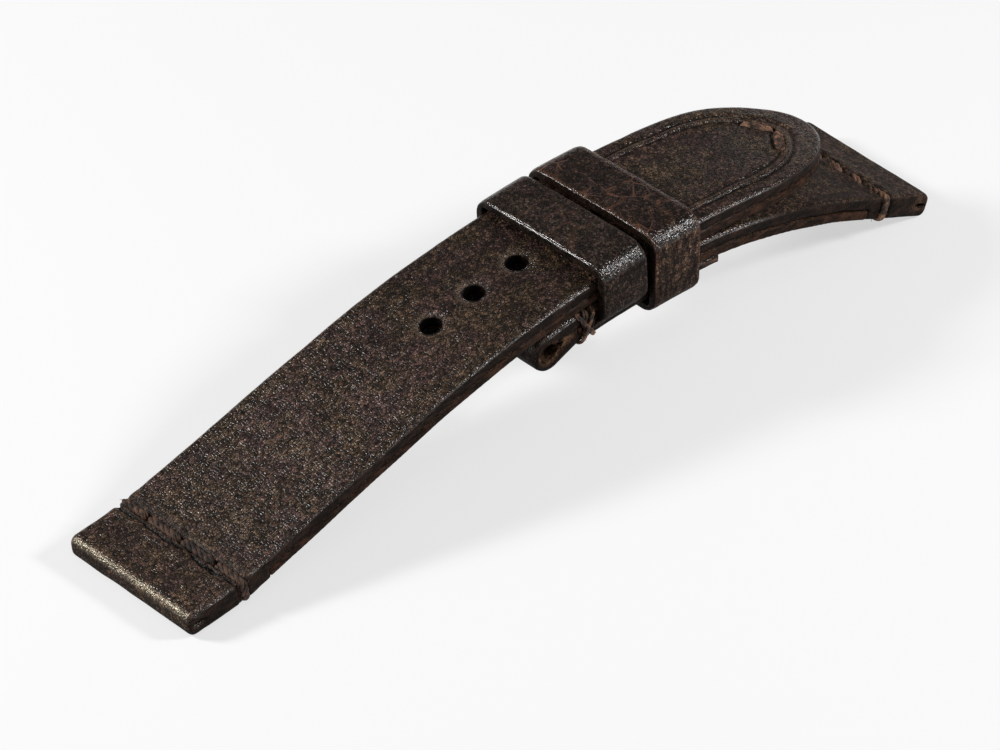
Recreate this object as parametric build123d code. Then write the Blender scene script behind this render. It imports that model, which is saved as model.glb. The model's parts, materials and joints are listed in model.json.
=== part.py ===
from build123d import *
import math
import os

# A leather watch strap lying on a table as an arch: a long strap whose tail runs through two
# keepers, and a short strap under it that ends in a loop for a buckle's bar.
# Millimetres and degrees. While the pieces are made, +X runs along the strap from the long
# strap's lug end to the short strap's, +Z is up and the origin is on the axis of the arch.

# Leather
outer_leather = 1.9
lining_leather = 1.6
fold_leather = 0.8
loop_leather = 1.7
tail_leather = 1.3
keeper_leather = 1.4
foot_leather = 0.9

# Widths of the straps
lug_width = 24.0
buckle_width = 22.0
taper_corner_radius = 50.0

# The arch, as the long strap's top face follows it, and the two ends that run down from it
arch_radius = 160.0
arch_height = 20.4
long_slope = 16.4
short_slope = 23.5
short_bend_radius = 100.0
short_bend_place = -2.0
strap_gap = 0.3

# Places along the arch, measured on the long strap's top face from the crown
tip_place = 38.8
tip_length = 20.0
long_taper_place = -19.5
short_taper_place = 13.0
first_hole_place = -32.4
fixed_keeper_place = -8.15
loop_place = -21.3
tail_end_place = 11.9

# Lug ends
bar_bore_radius = 1.0
nose_radius = 1.2
long_lug_slope = 6.5
crease_radius = 15.0
long_lug_length = 8.4
short_lug_length = 9.5
flap_reach = 3.0

# Buckle loop
buckle_bore_radius = 1.25
loop_drop = 0.25
loop_reach = 5.4
loop_mouth = 1.1
loop_web = 0.6
buckle_row_reach = 1.5
tongue_slot_width = 5.0
tongue_slot_reach = 4.0

# Tongue holes
hole_radius = 1.5
hole_pitch = 8.0
hole_count = 5

# Keepers
keeper_clearance = 0.3
fixed_keeper_width = 8.1
sliding_keeper_width = 8.5
keeper_spacing = 1.6
keeper_lift = 0.8
sliding_keeper_slack = 0.6
keeper_corner = 2.8
keeper_inner_corner = 0.25
foot_gap = 8.0
foot_pocket_clearance = 0.1
seam_gap = 0.15

# Threads
thread_radius = 0.5
thread_clearance = 0.05
keeper_thread_radius = 0.3
leg_clearance = 0.03
lug_thread_rise = 0.35
edge_thread_rise = 0.3
flush_thread_rise = 0.1
tip_stitch_place = 33.0
tip_stitch_end_place = 30.0
tip_stitch_reach = 3.8
tip_arm_gap = 0.75
keeper_stitch_reach = 1.4
keeper_stitch_place = 2.0

# The radius of a thread's turns, as a share of the thread's own radius
thread_turn_share = 1.3

# Where the stitches pass through the straps, as shares of the strap's width
long_lug_hole_shares = (0.29, 0.02, -0.265)
short_lug_hole_shares = (0.37, 0.21, 0.05, -0.12, -0.28)
buckle_end_hole_shares = (0.3, 0.13, -0.13, -0.3)

# Rounded edges of the leather
top_edge_radius = 0.6
low_edge_radius = 0.4
keeper_edge_radius = 0.3

# Cuts run past what they cut by this much, and faces this near each other touch
overrun = 5.0
same = 0.001

strap_thickness = outer_leather + lining_leather
lug_thickness = (bar_bore_radius + fold_leather) * 2
lug_half = lug_width / 2
buckle_half = buckle_width / 2
short_radius = arch_radius - strap_thickness - strap_gap
floor_level = arch_radius - arch_height


# Lines drawn in the side view, which is the plane of X and Z

def left_of(heading):
    angle = math.radians(heading)
    return (-math.sin(angle), math.cos(angle))


def beside(point, heading, distance):
    side = left_of(heading)
    return (point[0] + side[0] * distance, point[1] + side[1] * distance)


def ahead(point, heading, distance):
    angle = math.radians(heading)
    return (point[0] + math.cos(angle) * distance, point[1] + math.sin(angle) * distance)


def run(length):
    return (length, 0)


def bend(radius, turn):
    # A turn to the left is positive
    return (radius * math.radians(abs(turn)), turn)


def trace(start, heading, moves, offset):
    # The edges of a line that keeps an offset to the left of a path, and where the path ends
    edges = []
    point = start
    for length, turn in moves:
        if turn:
            radius = length / math.radians(turn)
            centre = beside(point, heading, radius)
            angles = (heading, heading + turn / 2, heading + turn)
            edges.append(ThreePointArc(*[beside(centre, angle, offset - radius) for angle in angles]))
            heading += turn
            point = beside(centre, heading, -radius)
        else:
            end = ahead(point, heading, length)
            edges.append(Line(beside(point, heading, offset), beside(end, heading, offset)))
            point = end
    return edges, point, heading


def band(start, heading, moves, near, far):
    # The closed outline between two offsets from a path
    near_edges = trace(start, heading, moves, near)[0]
    far_edges = trace(start, heading, moves, far)[0]
    first_cap = Line(near_edges[0] @ 0, far_edges[0] @ 0)
    last_cap = Line(near_edges[-1] @ 1, far_edges[-1] @ 1)
    return make_face([*near_edges, *far_edges, first_cap, last_cap])


def across(profile):
    # A side view drawn in X and Z, extruded across the whole width
    return extrude(Plane.XZ * profile, amount=lug_width, both=True)


def plan_prism(outline):
    # A plan view drawn in X and Y, extruded from under the floor to above the crown
    return Pos(0, 0, floor_level - overrun) * extrude(outline, amount=arch_height + overrun * 2)


def arch_angle(place):
    return math.degrees(place / arch_radius)


def arch_x(place, radius=arch_radius):
    return radius * math.sin(place / arch_radius)


def arch_point(place, radius):
    angle = place / arch_radius
    return (radius * math.sin(angle), radius * math.cos(angle))


def at_place(shape, place):
    # Moves a shape made at the crown along the arch
    return Rot(0, arch_angle(place), 0) * shape


def parted(moves, length):
    # Splits a path at a distance from its end
    start_moves = list(moves)
    end_moves = []
    while length > same:
        move_length, turn = start_moves.pop()
        taken = min(length, move_length)
        share = taken / move_length
        end_moves.insert(0, (taken, turn * share))
        if taken < move_length:
            start_moves.append((move_length - taken, turn * (1 - share)))
        length -= taken
    return start_moves, end_moves


def side_plane(point, heading, up):
    # A local frame on a strap: x along it towards +X, y across, z out of its top face
    side = left_of(heading)
    axis = (side[0] * up, side[1] * up)
    return Plane(origin=(point[0], 0, point[1]), x_dir=(axis[1], 0, -axis[0]), z_dir=(axis[0], 0, axis[1]))


def run_to_floor(height, slope, lug_drop, lug_slope):
    # The straight run's length that brings the nose's lowest point down to the floor
    angle = math.radians(lug_slope)
    lowest = nose_radius + (lug_thickness - nose_radius) * math.cos(angle) - nose_radius * math.sin(angle)
    return (height - lug_drop - lowest - floor_level) / math.sin(math.radians(slope))


# The long strap's path goes along its top face from the tip to the lug end

tip_margin_angle = math.degrees(overrun / arch_radius)
long_start_angle = arch_angle(tip_place) + tip_margin_angle
long_start = (
    arch_radius * math.sin(math.radians(long_start_angle)),
    arch_radius * math.cos(math.radians(long_start_angle)),
)
long_heading = 180 - long_start_angle
long_arc = bend(arch_radius, long_start_angle + long_slope)
crease_drop = crease_radius * (
    math.cos(math.radians(long_lug_slope)) - math.cos(math.radians(long_slope))
)
long_lug_drop = crease_drop + long_lug_length * math.sin(math.radians(long_lug_slope))
long_run_length = run_to_floor(
    arch_radius * math.cos(math.radians(long_slope)), long_slope, long_lug_drop, long_lug_slope
)
long_crease = bend(crease_radius, long_lug_slope - long_slope)
half_crease = bend(crease_radius, (long_lug_slope - long_slope) / 2)
long_moves = (long_arc, run(long_run_length), long_crease, run(long_lug_length))
long_flap_length = flap_reach + long_crease[0] + long_lug_length
long_lining_moves, long_flap_moves = parted(long_moves, long_flap_length)
long_nose, long_nose_heading = trace(long_start, long_heading, long_moves, 0)[1:]
long_flap_start, long_flap_heading = trace(long_start, long_heading, long_lining_moves, 0)[1:]
long_row, long_row_heading = trace(
    long_start, long_heading, (long_arc, run(long_run_length), half_crease), 0
)[1:]

# The short strap's path goes along its top face from the buckle end to the lug end

short_start_place = loop_place + loop_reach
short_start = arch_point(short_start_place, short_radius)
short_heading = -arch_angle(short_start_place)
bend_angle = arch_angle(short_bend_place)
short_arc = bend(short_radius, arch_angle(short_start_place) - bend_angle)
short_bend = bend(short_bend_radius, bend_angle - short_slope)
bend_end_height = short_radius * math.cos(math.radians(bend_angle)) - short_bend_radius * (
    math.cos(math.radians(bend_angle)) - math.cos(math.radians(short_slope))
)
short_run_length = run_to_floor(bend_end_height, short_slope, 0, short_slope)
short_moves = (short_arc, short_bend, run(short_run_length))
short_lining_moves, short_flap_moves = parted(short_moves, short_lug_length + flap_reach)
short_nose, short_nose_heading = trace(short_start, short_heading, short_moves, 0)[1:]
short_flap_start, short_flap_heading = trace(short_start, short_heading, short_lining_moves, 0)[1:]
short_row = ahead(short_nose, short_nose_heading, -short_lug_length)
tail_bend_turn = -math.degrees((tail_end_place - short_bend_place) / short_bend_radius)
tail_moves = (short_arc, bend(short_bend_radius, tail_bend_turn))

# The buckle loop hangs from the short strap's end, round the bore of the buckle's bar

loop_radius = buckle_bore_radius + loop_leather
loop_middle = short_radius - loop_drop - loop_radius
loop_centre = arch_point(loop_place, loop_middle)
loop_end_thickness = strap_thickness + tail_leather
loop_end_low = arch_point(short_start_place, short_radius - loop_end_thickness)
buckle_row_place = short_start_place + buckle_row_reach
sliding_keeper_place = (
    fixed_keeper_place + fixed_keeper_width / 2 + keeper_spacing + sliding_keeper_width / 2
)
sliding_inner_low = short_radius - loop_end_thickness - sliding_keeper_slack
sliding_low = sliding_inner_low - keeper_leather


def bar_centre(nose, heading, side):
    # The spring bar's bore lies behind the nose, in the middle of the lug end's thickness
    middle = beside(nose, heading, side * lug_thickness / 2)
    return ahead(middle, heading, -lug_thickness / 2)


long_bar = bar_centre(long_nose, long_nose_heading, 1)
short_bar = bar_centre(short_nose, short_nose_heading, -1)


def bore(centre, radius):
    return Pos(centre[0], 0, centre[1]) * Rot(90, 0, 0) * Cylinder(radius, lug_width * 2)


def nosed(profile, nose, heading):
    # Rounds the two corners of a side view that lie furthest along its nose
    angle = math.radians(heading)

    def reach(vertex):
        return (vertex.X - nose[0]) * math.cos(angle) + (vertex.Y - nose[1]) * math.sin(angle)

    corners = sorted(profile.vertices(), key=reach)[-2:]
    return fillet(corners, radius=nose_radius)


# Plan views of the straps

def soft_cornered(outline, first_x, last_x):
    # Rounds the corners where a strap starts and stops widening, between two places in X
    corners = [vertex for vertex in outline.vertices() if first_x < vertex.X < last_x]
    return fillet(corners, radius=taper_corner_radius)


def long_plan():
    taper_x = arch_x(long_taper_place)
    tip_x = arch_x(tip_place)
    body = Polygon(
        (long_nose[0] - overrun, -lug_half),
        (long_row[0], -lug_half),
        (taper_x, -buckle_half),
        (tip_x - tip_length, -buckle_half),
        (tip_x - tip_length, buckle_half),
        (taper_x, buckle_half),
        (long_row[0], lug_half),
        (long_nose[0] - overrun, lug_half),
        align=None,
    )
    tip = Pos(tip_x - tip_length, 0) * Ellipse(tip_length, buckle_half)
    return soft_cornered(body, long_nose[0], tip_x - tip_length - same) + tip


def short_plan():
    taper_x = arch_x(short_taper_place)
    loop_x = loop_centre[0] - loop_radius - overrun
    body = Polygon(
        (loop_x, -buckle_half),
        (taper_x, -buckle_half),
        (short_row[0], -lug_half),
        (short_nose[0] + overrun, -lug_half),
        (short_nose[0] + overrun, lug_half),
        (short_row[0], lug_half),
        (taper_x, buckle_half),
        (loop_x, buckle_half),
        align=None,
    )
    return soft_cornered(body, loop_centre[0], short_nose[0])


# Edges of the leather

def is_side(face):
    return abs(face.normal_at(face.center()).Z) < same


def rounded(piece, neighbour, radius):
    # Rounds the edges between a strap's sides and its other faces, but not where it meets its neighbour
    sides = piece.faces().filter_by(is_side)
    edges = [edge for face in sides for edge in face.edges()]
    outer_edges = [edge for edge in edges if sum(edge == other for other in edges) == 1]
    free_edges = [edge for edge in outer_edges if neighbour.distance_to(edge @ 0.5) > same]
    return fillet(free_edges, radius=radius)


# Stitches: each is a closed loop of thread, up through one hole, over, down and back under

def thread(first, last, low, high, radius=thread_radius):
    path = FilletPolyline(
        (0, first, high),
        (0, last, high),
        (0, last, low),
        (0, first, low),
        radius=radius * thread_turn_share,
        close=True,
    )
    return sweep(Plane(path @ 0, z_dir=path % 0) * Circle(radius), path)


def room(first, last, low, high, radius=thread_radius):
    # What a stitch takes out of the leather: a groove in both faces and a hole at both ends
    width = (radius + thread_clearance) * 2
    groove = Pos(0, (first + last) / 2, 0) * Box(width, last - first + width, width)
    hole = Pos(0, 0, (low + high) / 2) * Box(width, width, high - low)
    grooves = Pos(0, 0, low) * groove + Pos(0, 0, high) * groove
    return grooves + Pos(0, first, 0) * hole + Pos(0, last, 0) * hole


def less(piece, cuts):
    for cut in cuts:
        piece -= cut
    return piece


def cross_stitches(form, half_width, shares, thickness, rise):
    # A row right across a strap, with one stitch round each of its edges. Two legs share a hole.
    high = rise - thread_radius
    low = -thickness - high
    edge = half_width + edge_thread_rise - thread_radius
    leg_place = thread_radius + leg_clearance
    holes = [share * half_width * 2 for share in shares]
    lasts = [edge] + [hole - leg_place for hole in holes]
    firsts = [hole + leg_place for hole in holes] + [-edge]
    return [form(first, last, low, high) for first, last in zip(firsts, lasts)]


def long_lug_stitches(form):
    frame = side_plane(long_row, long_row_heading, -1).location
    row = cross_stitches(form, lug_half, long_lug_hole_shares, lug_thickness, lug_thread_rise)
    return [frame * stitch for stitch in row]


def short_lug_stitches(form):
    frame = side_plane(short_row, short_nose_heading, 1).location
    row = cross_stitches(form, lug_half, short_lug_hole_shares, lug_thickness, lug_thread_rise)
    return [frame * stitch for stitch in row]


def buckle_end_stitches(form):
    row = cross_stitches(
        form, buckle_half, buckle_end_hole_shares, loop_end_thickness, flush_thread_rise
    )
    return [at_place(Pos(0, 0, short_radius) * stitch, buckle_row_place) for stitch in row]


def tip_stitches(form):
    # Two arms that meet towards the tip
    back = tip_stitch_place - tip_stitch_end_place
    length = math.hypot(back, tip_stitch_reach)
    high = flush_thread_rise - thread_radius
    turn = math.degrees(math.atan2(back, tip_stitch_reach))
    arms = []
    for side in (-1, 1):
        ends = sorted((side * tip_arm_gap, side * length))
        arm = Pos(0, 0, arch_radius) * Rot(0, 0, side * turn) * form(*ends, -strap_thickness - high, high)
        arms.append(at_place(arm, tip_stitch_place))
    return arms


# The long strap

def tongue_hole(index):
    length = strap_thickness + overrun * 2
    hole = Pos(0, 0, arch_radius - strap_thickness / 2) * Cylinder(hole_radius, length)
    return at_place(hole, first_hole_place + index * hole_pitch)


def long_pierced(piece):
    holes = [tongue_hole(index) for index in range(hole_count)]
    return less(piece, holes + tip_stitches(room) + long_lug_stitches(room))


def long_leathers():
    prism = plan_prism(long_plan())
    top = band(long_start, long_heading, long_moves, 0, outer_leather)
    flap = band(long_flap_start, long_flap_heading, long_flap_moves, 0, lug_thickness)
    outer = across(nosed(top + flap, long_nose, long_nose_heading)) & prism
    under = band(long_start, long_heading, long_lining_moves, outer_leather, strap_thickness)
    lining = across(under) & prism
    rounded_outer = rounded(outer, lining, top_edge_radius) - bore(long_bar, bar_bore_radius)
    rounded_lining = rounded(lining, outer, low_edge_radius)
    return long_pierced(rounded_outer), long_pierced(rounded_lining)


# The short strap

def loop_profile():
    # The leather comes round the bore and back under the strap, tapering to the stitched end
    section = Line(arch_point(short_start_place, short_radius), loop_end_low)
    ring = Pos(*loop_centre) * Circle(loop_radius)
    return make_hull([*ring.edges(), section])


def loop_hollow():
    # The bore's mouth narrows towards the lining's end and stops short of it
    mouth = loop_mouth / 2
    wedge = Polygon(
        arch_point(loop_place, loop_middle + mouth),
        arch_point(loop_place, loop_middle - mouth),
        arch_point(short_start_place - loop_web, short_radius - strap_thickness + lining_leather / 2),
        align=None,
    )
    return Pos(*loop_centre) * Circle(buckle_bore_radius) + wedge


def short_pierced(piece):
    return less(piece, buckle_end_stitches(room) + short_lug_stitches(room))


def short_leathers():
    prism = plan_prism(short_plan())
    top = band(short_start, short_heading, short_moves, 0, -outer_leather)
    flap = band(short_flap_start, short_flap_heading, short_flap_moves, 0, -lug_thickness)
    tail = band(short_start, short_heading, tail_moves, -strap_thickness, -loop_end_thickness)
    profile = nosed(top + flap, short_nose, short_nose_heading) + tail + loop_profile()
    outer = across(profile) & prism
    under = band(short_start, short_heading, short_lining_moves, -outer_leather, -strap_thickness)
    lining = across(under) & prism
    holes = bore(short_bar, bar_bore_radius) + across(loop_hollow()) + tongue_slot()
    pockets = foot_pocket(1) + foot_pocket(-1)
    short_outer = rounded(outer, lining, top_edge_radius) - holes
    short_lining = rounded(lining, outer, low_edge_radius) - pockets
    return short_pierced(short_outer), short_pierced(short_lining)


def tongue_slot():
    # Open at the loop's front, with a round end
    length = loop_radius + overrun + tongue_slot_reach
    outline = Pos(tongue_slot_reach - length / 2, 0) * Rectangle(length, tongue_slot_width)
    outline += Pos(tongue_slot_reach, 0) * Circle(tongue_slot_width / 2)
    height = loop_radius * 2 + overrun
    return at_place(Pos(0, 0, loop_middle - height / 2) * extrude(outline, amount=height), loop_place)


# The keepers: each is a band round both straps, made at the crown and moved along the arch

def keeper_band(section, width):
    angle = math.degrees(lug_width / arch_radius)
    ring = Rot(0, -angle / 2, 0) * revolve(Plane.YZ * section, Axis.Y, angle)
    return ring & plan_prism(Rectangle(width, lug_width * 2))


def soft_rims(keeper):
    # Rounds the outer edges of a keeper's two cut sides
    faces = keeper.faces().sort_by(Axis.X)
    edges = faces[0].outer_wire().edges() + faces[-1].outer_wire().edges()
    return fillet(edges, radius=keeper_edge_radius)


def keeper_outline(half, low, high, corner):
    # Drawn in Y and Z. The top stands higher at the side towards -Y.
    outline = Polygon((-half, low), (half, low), (half, high), (-half, high + keeper_lift), align=None)
    return fillet(outline.vertices(), radius=corner)


def keeper_section(low, inner_low):
    inner_half = buckle_half + keeper_clearance
    inner_high = arch_radius + keeper_clearance
    outer = keeper_outline(inner_half + keeper_leather, low, inner_high + keeper_leather, keeper_corner)
    return outer - keeper_outline(inner_half, inner_low, inner_high, keeper_inner_corner)


def foot_pocket(side):
    # Each foot of the fixed keeper lies in a thinned place of the lining
    low = short_radius - strap_thickness
    inner = foot_gap / 2 - foot_pocket_clearance
    pocket = Pos(side * (inner + lug_half / 2), low + foot_leather / 2)
    section = pocket * Rectangle(lug_half, foot_leather)
    width = fixed_keeper_width + foot_pocket_clearance * 2
    return at_place(keeper_band(section, width), fixed_keeper_place)


def fixed_keeper():
    low = short_radius - strap_thickness
    section = keeper_section(low, low + foot_leather)
    keeper = soft_rims(keeper_band(section, fixed_keeper_width))
    keeper -= Pos(0, 0, low) * Box(fixed_keeper_width * 2, foot_gap, foot_leather * 3)
    return at_place(keeper, fixed_keeper_place)


def sliding_keeper():
    section = keeper_section(sliding_low, sliding_inner_low)
    keeper = soft_rims(keeper_band(section, sliding_keeper_width))
    keeper -= Pos(0, 0, sliding_low) * Box(sliding_keeper_width * 2, seam_gap, keeper_leather * 3)
    return less(at_place(keeper, sliding_keeper_place), sliding_keeper_stitches(room))


def sliding_keeper_stitches(form):
    # Two short stitches that close the butt joint under the straps
    high = sliding_inner_low + flush_thread_rise - keeper_thread_radius
    low = sliding_low - flush_thread_rise + keeper_thread_radius
    stitch = form(-keeper_stitch_reach, keeper_stitch_reach, low, high, keeper_thread_radius)
    places = (-keeper_stitch_place, keeper_stitch_place)
    return [at_place(Pos(place, 0, 0) * stitch, sliding_keeper_place) for place in places]


# The whole strap, set down with the middle of its base at the origin

def strap_nodes():
    long_outer, long_lining = long_leathers()
    short_outer, short_lining = short_leathers()
    return {
        "long_outer_leather": [long_outer],
        "long_lining": [long_lining],
        "long_lug_thread": long_lug_stitches(thread),
        "long_tip_thread": tip_stitches(thread),
        "short_outer_leather": [short_outer],
        "short_lining": [short_lining],
        "short_lug_thread": short_lug_stitches(thread),
        "buckle_end_thread": buckle_end_stitches(thread),
        "fixed_keeper": [fixed_keeper()],
        "sliding_keeper": [sliding_keeper()],
        "sliding_keeper_thread": sliding_keeper_stitches(thread),
    }


def one_shape(pieces):
    return Compound([solid for piece in pieces for solid in piece.solids()])


def told(name, point, origin):
    # Prints a place on the finished strap in millimetres
    place = Vector(*point) - origin
    print(f"{name}: {place.X:.3f} {place.Y:.3f} {place.Z:.3f}")


os.makedirs("parts", exist_ok=True)
nodes = strap_nodes()
box = one_shape([one_shape(pieces) for pieces in nodes.values()]).bounding_box()
origin = Vector(box.center().X, 0, floor_level)
for name, pieces in nodes.items():
    export_step(Pos(*(origin * -1)) * one_shape(pieces), f"parts/{name}.step")

told("arch axis", (0, 0, 0), origin)
told("long lug bore", (long_bar[0], 0, long_bar[1]), origin)
told("short lug bore", (short_bar[0], 0, short_bar[1]), origin)
told("buckle loop bore", (loop_centre[0], 0, loop_centre[1]), origin)
for index in range(hole_count):
    place = first_hole_place + index * hole_pitch
    hole_x, hole_z = arch_point(place, arch_radius - strap_thickness / 2)
    told(f"tongue hole {index + 1} at {arch_angle(place):.2f} degrees", (hole_x, 0, hole_z), origin)
print("size", box.size)
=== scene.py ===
import json
import math

import bpy
import numpy as np
from mathutils import Matrix, Vector

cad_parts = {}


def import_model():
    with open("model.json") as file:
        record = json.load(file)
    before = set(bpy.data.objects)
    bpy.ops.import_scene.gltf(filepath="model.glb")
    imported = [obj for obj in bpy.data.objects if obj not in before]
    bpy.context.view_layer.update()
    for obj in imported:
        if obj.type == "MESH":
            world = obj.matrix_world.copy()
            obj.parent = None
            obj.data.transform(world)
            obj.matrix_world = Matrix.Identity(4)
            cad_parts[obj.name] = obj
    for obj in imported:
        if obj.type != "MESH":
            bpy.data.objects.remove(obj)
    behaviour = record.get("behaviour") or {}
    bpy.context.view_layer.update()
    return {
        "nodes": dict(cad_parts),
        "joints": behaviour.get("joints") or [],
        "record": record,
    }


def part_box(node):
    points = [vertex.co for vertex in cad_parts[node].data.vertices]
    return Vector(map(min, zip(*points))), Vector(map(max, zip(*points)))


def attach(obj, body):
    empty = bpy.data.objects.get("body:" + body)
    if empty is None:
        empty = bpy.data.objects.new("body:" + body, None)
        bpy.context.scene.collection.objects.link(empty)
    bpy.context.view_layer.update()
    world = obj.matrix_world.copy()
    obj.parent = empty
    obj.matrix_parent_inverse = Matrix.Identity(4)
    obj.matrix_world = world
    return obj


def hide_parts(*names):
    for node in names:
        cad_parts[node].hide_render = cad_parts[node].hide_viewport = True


# The looks of a leather watch strap. Sizes are in millimetres and are scaled to metres where
# they meet the mesh, and angles are in degrees.

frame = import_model()
scene = bpy.context.scene
MM = 0.001

# The view
camera_azimuth = -43.11
camera_elevation = 37.63
camera_distance = 1300.0
pixels_per_mm = 7.392
view_point = (0.42, 0.0, 8.1)
view_point_pixel = (512.0, 331.7)
image_size = (1000, 750)
sensor_width = 36.0

# Sizes of the straps that the frame doesn't give
arch_radius = 160.0
loop_slope = 12.0
buckle_half = 11.0
lug_half = 12.0
lug_thickness = 3.6
long_thickness = 3.5
long_row_slope = 11.45
short_row_slope = -23.5
buckle_row_thickness = 4.8
long_lug_holes = (6.96, 0.48, -6.36)
short_lug_holes = (8.88, 5.04, 1.2, -2.88, -6.72)
buckle_end_holes = (6.6, 2.86, -2.86, -6.6)
lug_rise = 0.35
flush_rise = 0.1
edge_rise = 0.3
long_taper_place = -19.5
short_taper_place = 13.0
tip_place = 38.8
tip_length = 20.0
tip_stitch_place = 33.0
tip_stitch_end_place = 30.0
tip_stitch_reach = 3.8
tip_arm_gap = 0.75
hole_radius = 1.5
hole_pitch = 8.0
thread_radius = 0.5
leg_place = 0.53

# Marks in the leather: where they lie, how wide they are and how deep
lip_inset = 3.2
lip_width = 0.32
lip_height = 0.20
groove_width = 0.3
outer_groove_inset = 2.5
outer_groove_depth = 0.22
inner_groove_inset = 3.9
inner_groove_depth = 0.16
hole_dip_depth = 0.28
hole_dip_reach = 1.5
rub_depth = 0.08
rub_reach = 0.9
pit_radius = 0.8
pit_depth = 0.5
crevice_reach = 0.95
crevice_wander = 0.50
crevice_width = 0.36
crevice_depth = 0.55
bulge_height = 0.17
arm_dip_width = 1.2
arm_dip_depth = 0.16
arm_groove_place = 0.95
arm_groove_width = 0.35
arm_groove_depth = 0.35
bore_closing = 0.75
bore_closed_reach = 1.0
bore_open_reach = 1.6
lining_pull = 0.7
lining_pull_reach = 1.0
hollow_radius = 1.75
hollow_edge_radius = 2.1
hollow_reach = 4.2
hollow_taper = 0.38
hollow_depth = 0.7
keeper_crown = 0.25
keeper_half_width = 12.7
keeper_edge_depth = 0.10
underside_shade = 0.75

# Grain of the leather
pebble_size = 0.46
fine_size = 0.2
soft_size = 1.3
patch_size = 4.2
broad_size = 15.0
wrinkle_size = 0.6
large_crack_size = 6.2
small_crack_size = 2.6
crack_warp_size = 3.4
crack_warp = 1.6
layer_size = 0.55
blot_size = 2.2
fibre_size = 0.35
pebble_height = 0.050
fine_height = 0.042
crack_colour = (0.15, 0.068, 0.038)
raw_dark = (0.045, 0.020, 0.012)
raw_light = (0.27, 0.15, 0.09)

# Twisted threads
ply_count = 3
twist_pitch = 3.2
ply_radius = 0.30
ply_spread_wide = 0.34
ply_spread_high = 0.17
ply_sides = 12
fibre_sides = 5
fibre_radii = (0.05, 0.018)

# The studio: sizes in metres
floor_reach = 8.0
floor_height = -0.0002
floor_tone = 0.84
floor_glow = 0.6
world_strength = 0.11


def middle(node):
    # The middle of a node's box
    low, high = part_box(node)
    return [(a + b) / 2 / MM for a, b in zip(low, high)]


def mount_place(name):
    found = [mount for mount in frame["record"]["mounts"] if mount["name"] == name]
    return [value / MM for value in found[0]["pos_m"]]


joint_place = {joint["name"]: joint["pos_m"] for joint in frame["joints"]}
arch_x, _, arch_z = [value / MM for value in joint_place["long_strap_slide"]]
long_row = middle("long_lug_thread")
short_row = middle("short_lug_thread")
buckle_row = middle("buckle_end_thread")
long_bore = mount_place("long_lug_bore")
short_bore = mount_place("short_lug_bore")
loop_bore = mount_place("buckle_loop_bore")
first_hole = mount_place("tongue_hole")
first_hole_place = math.atan2(first_hole[0] - arch_x, first_hole[2] - arch_z) * arch_radius
hole_places = [first_hole_place + hole_pitch * index for index in range(5)]


# Noise that gives the same values on each run

def smooth_step(low, high, value):
    t = np.clip((value - low) / (high - low), 0.0, 1.0)
    return t * t * (3.0 - 2.0 * t)


def hill(value, width):
    return np.exp(-((value / width) ** 2))


def lattice(cells, seed):
    # One random number from 0 to 1 for each cell of a grid
    mixed = cells[:, 0] * 374761393 + cells[:, 1] * 668265263 + cells[:, 2] * 2147483647 + seed * 1274126177
    mixed = (mixed ^ (mixed >> 13)) * 1274126177
    mixed = mixed ^ (mixed >> 16)
    return (mixed & 0xFFFF) / 65535.0


def noise(points, size, seed):
    # Smooth noise from -1 to 1 with lumps of about one size
    scaled = points / size
    base = np.floor(scaled).astype(np.int64)
    part = scaled - base
    part = part * part * (3.0 - 2.0 * part)
    total = np.zeros(len(points))
    for corner in range(8):
        step = np.array([corner & 1, corner >> 1 & 1, corner >> 2 & 1])
        weight = np.prod(np.where(step == 1, part, 1.0 - part), axis=1)
        total += weight * lattice(base + step, seed)
    return total * 2.0 - 1.0


def uneven(points, seed, coarse, fair, fine):
    return (
        coarse * noise(points, 9.0, seed)
        + fair * noise(points, 3.1, seed + 1)
        + fine * noise(points, 1.1, seed + 2)
    )


# Mesh tools

def mesh_arrays(mesh):
    count = len(mesh.vertices)
    points = np.zeros(count * 3)
    mesh.vertices.foreach_get("co", points)
    normals = np.zeros(count * 3)
    mesh.vertex_normals.foreach_get("vector", normals)
    return points.reshape(-1, 3) / MM, normals.reshape(-1, 3)


def place_points(mesh, points):
    mesh.vertices.foreach_set("co", (points * MM).ravel())
    mesh.update()


def mesh_edges(mesh):
    edges = np.zeros(len(mesh.edges) * 2, dtype=np.int64)
    mesh.edges.foreach_get("vertices", edges)
    return edges.reshape(-1, 2)


def relaxed(values, edges, rounds, share=0.5):
    count = np.bincount(edges.ravel(), minlength=len(values))[:, None]
    for _ in range(rounds):
        total = np.zeros_like(values)
        for axis in range(values.shape[1]):
            total[:, axis] = np.bincount(edges[:, 0], values[edges[:, 1], axis], len(values))
            total[:, axis] += np.bincount(edges[:, 1], values[edges[:, 0], axis], len(values))
        values = values * (1.0 - share) + total / np.maximum(count, 1) * share
    return values


def fine_mesh(node, voxel, rounds):
    # An even, fine mesh of a node's shape
    copy = bpy.data.objects.new("source_copy", frame["nodes"][node].data.copy())
    scene.collection.objects.link(copy)
    remesh = copy.modifiers.new("fine", "REMESH")
    remesh.mode = "VOXEL"
    remesh.voxel_size = voxel * MM
    mesh = bpy.data.meshes.new_from_object(copy.evaluated_get(bpy.context.evaluated_depsgraph_get()))
    bpy.data.objects.remove(copy)
    mesh.materials.clear()
    points, _ = mesh_arrays(mesh)
    place_points(mesh, relaxed(points, mesh_edges(mesh), rounds))
    mesh.shade_smooth()
    return mesh


def set_attribute(mesh, name, values):
    attribute = mesh.attributes.new(name, "FLOAT", "POINT")
    attribute.data.foreach_set("value", values.astype(np.float32))


def relief(mesh, rounds):
    # Above zero on edges and bumps, below zero in creases and holes
    points, normals = mesh_arrays(mesh)
    smooth = relaxed(points, mesh_edges(mesh), rounds)
    return np.einsum("ij,ij->i", points - smooth, normals)


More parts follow.
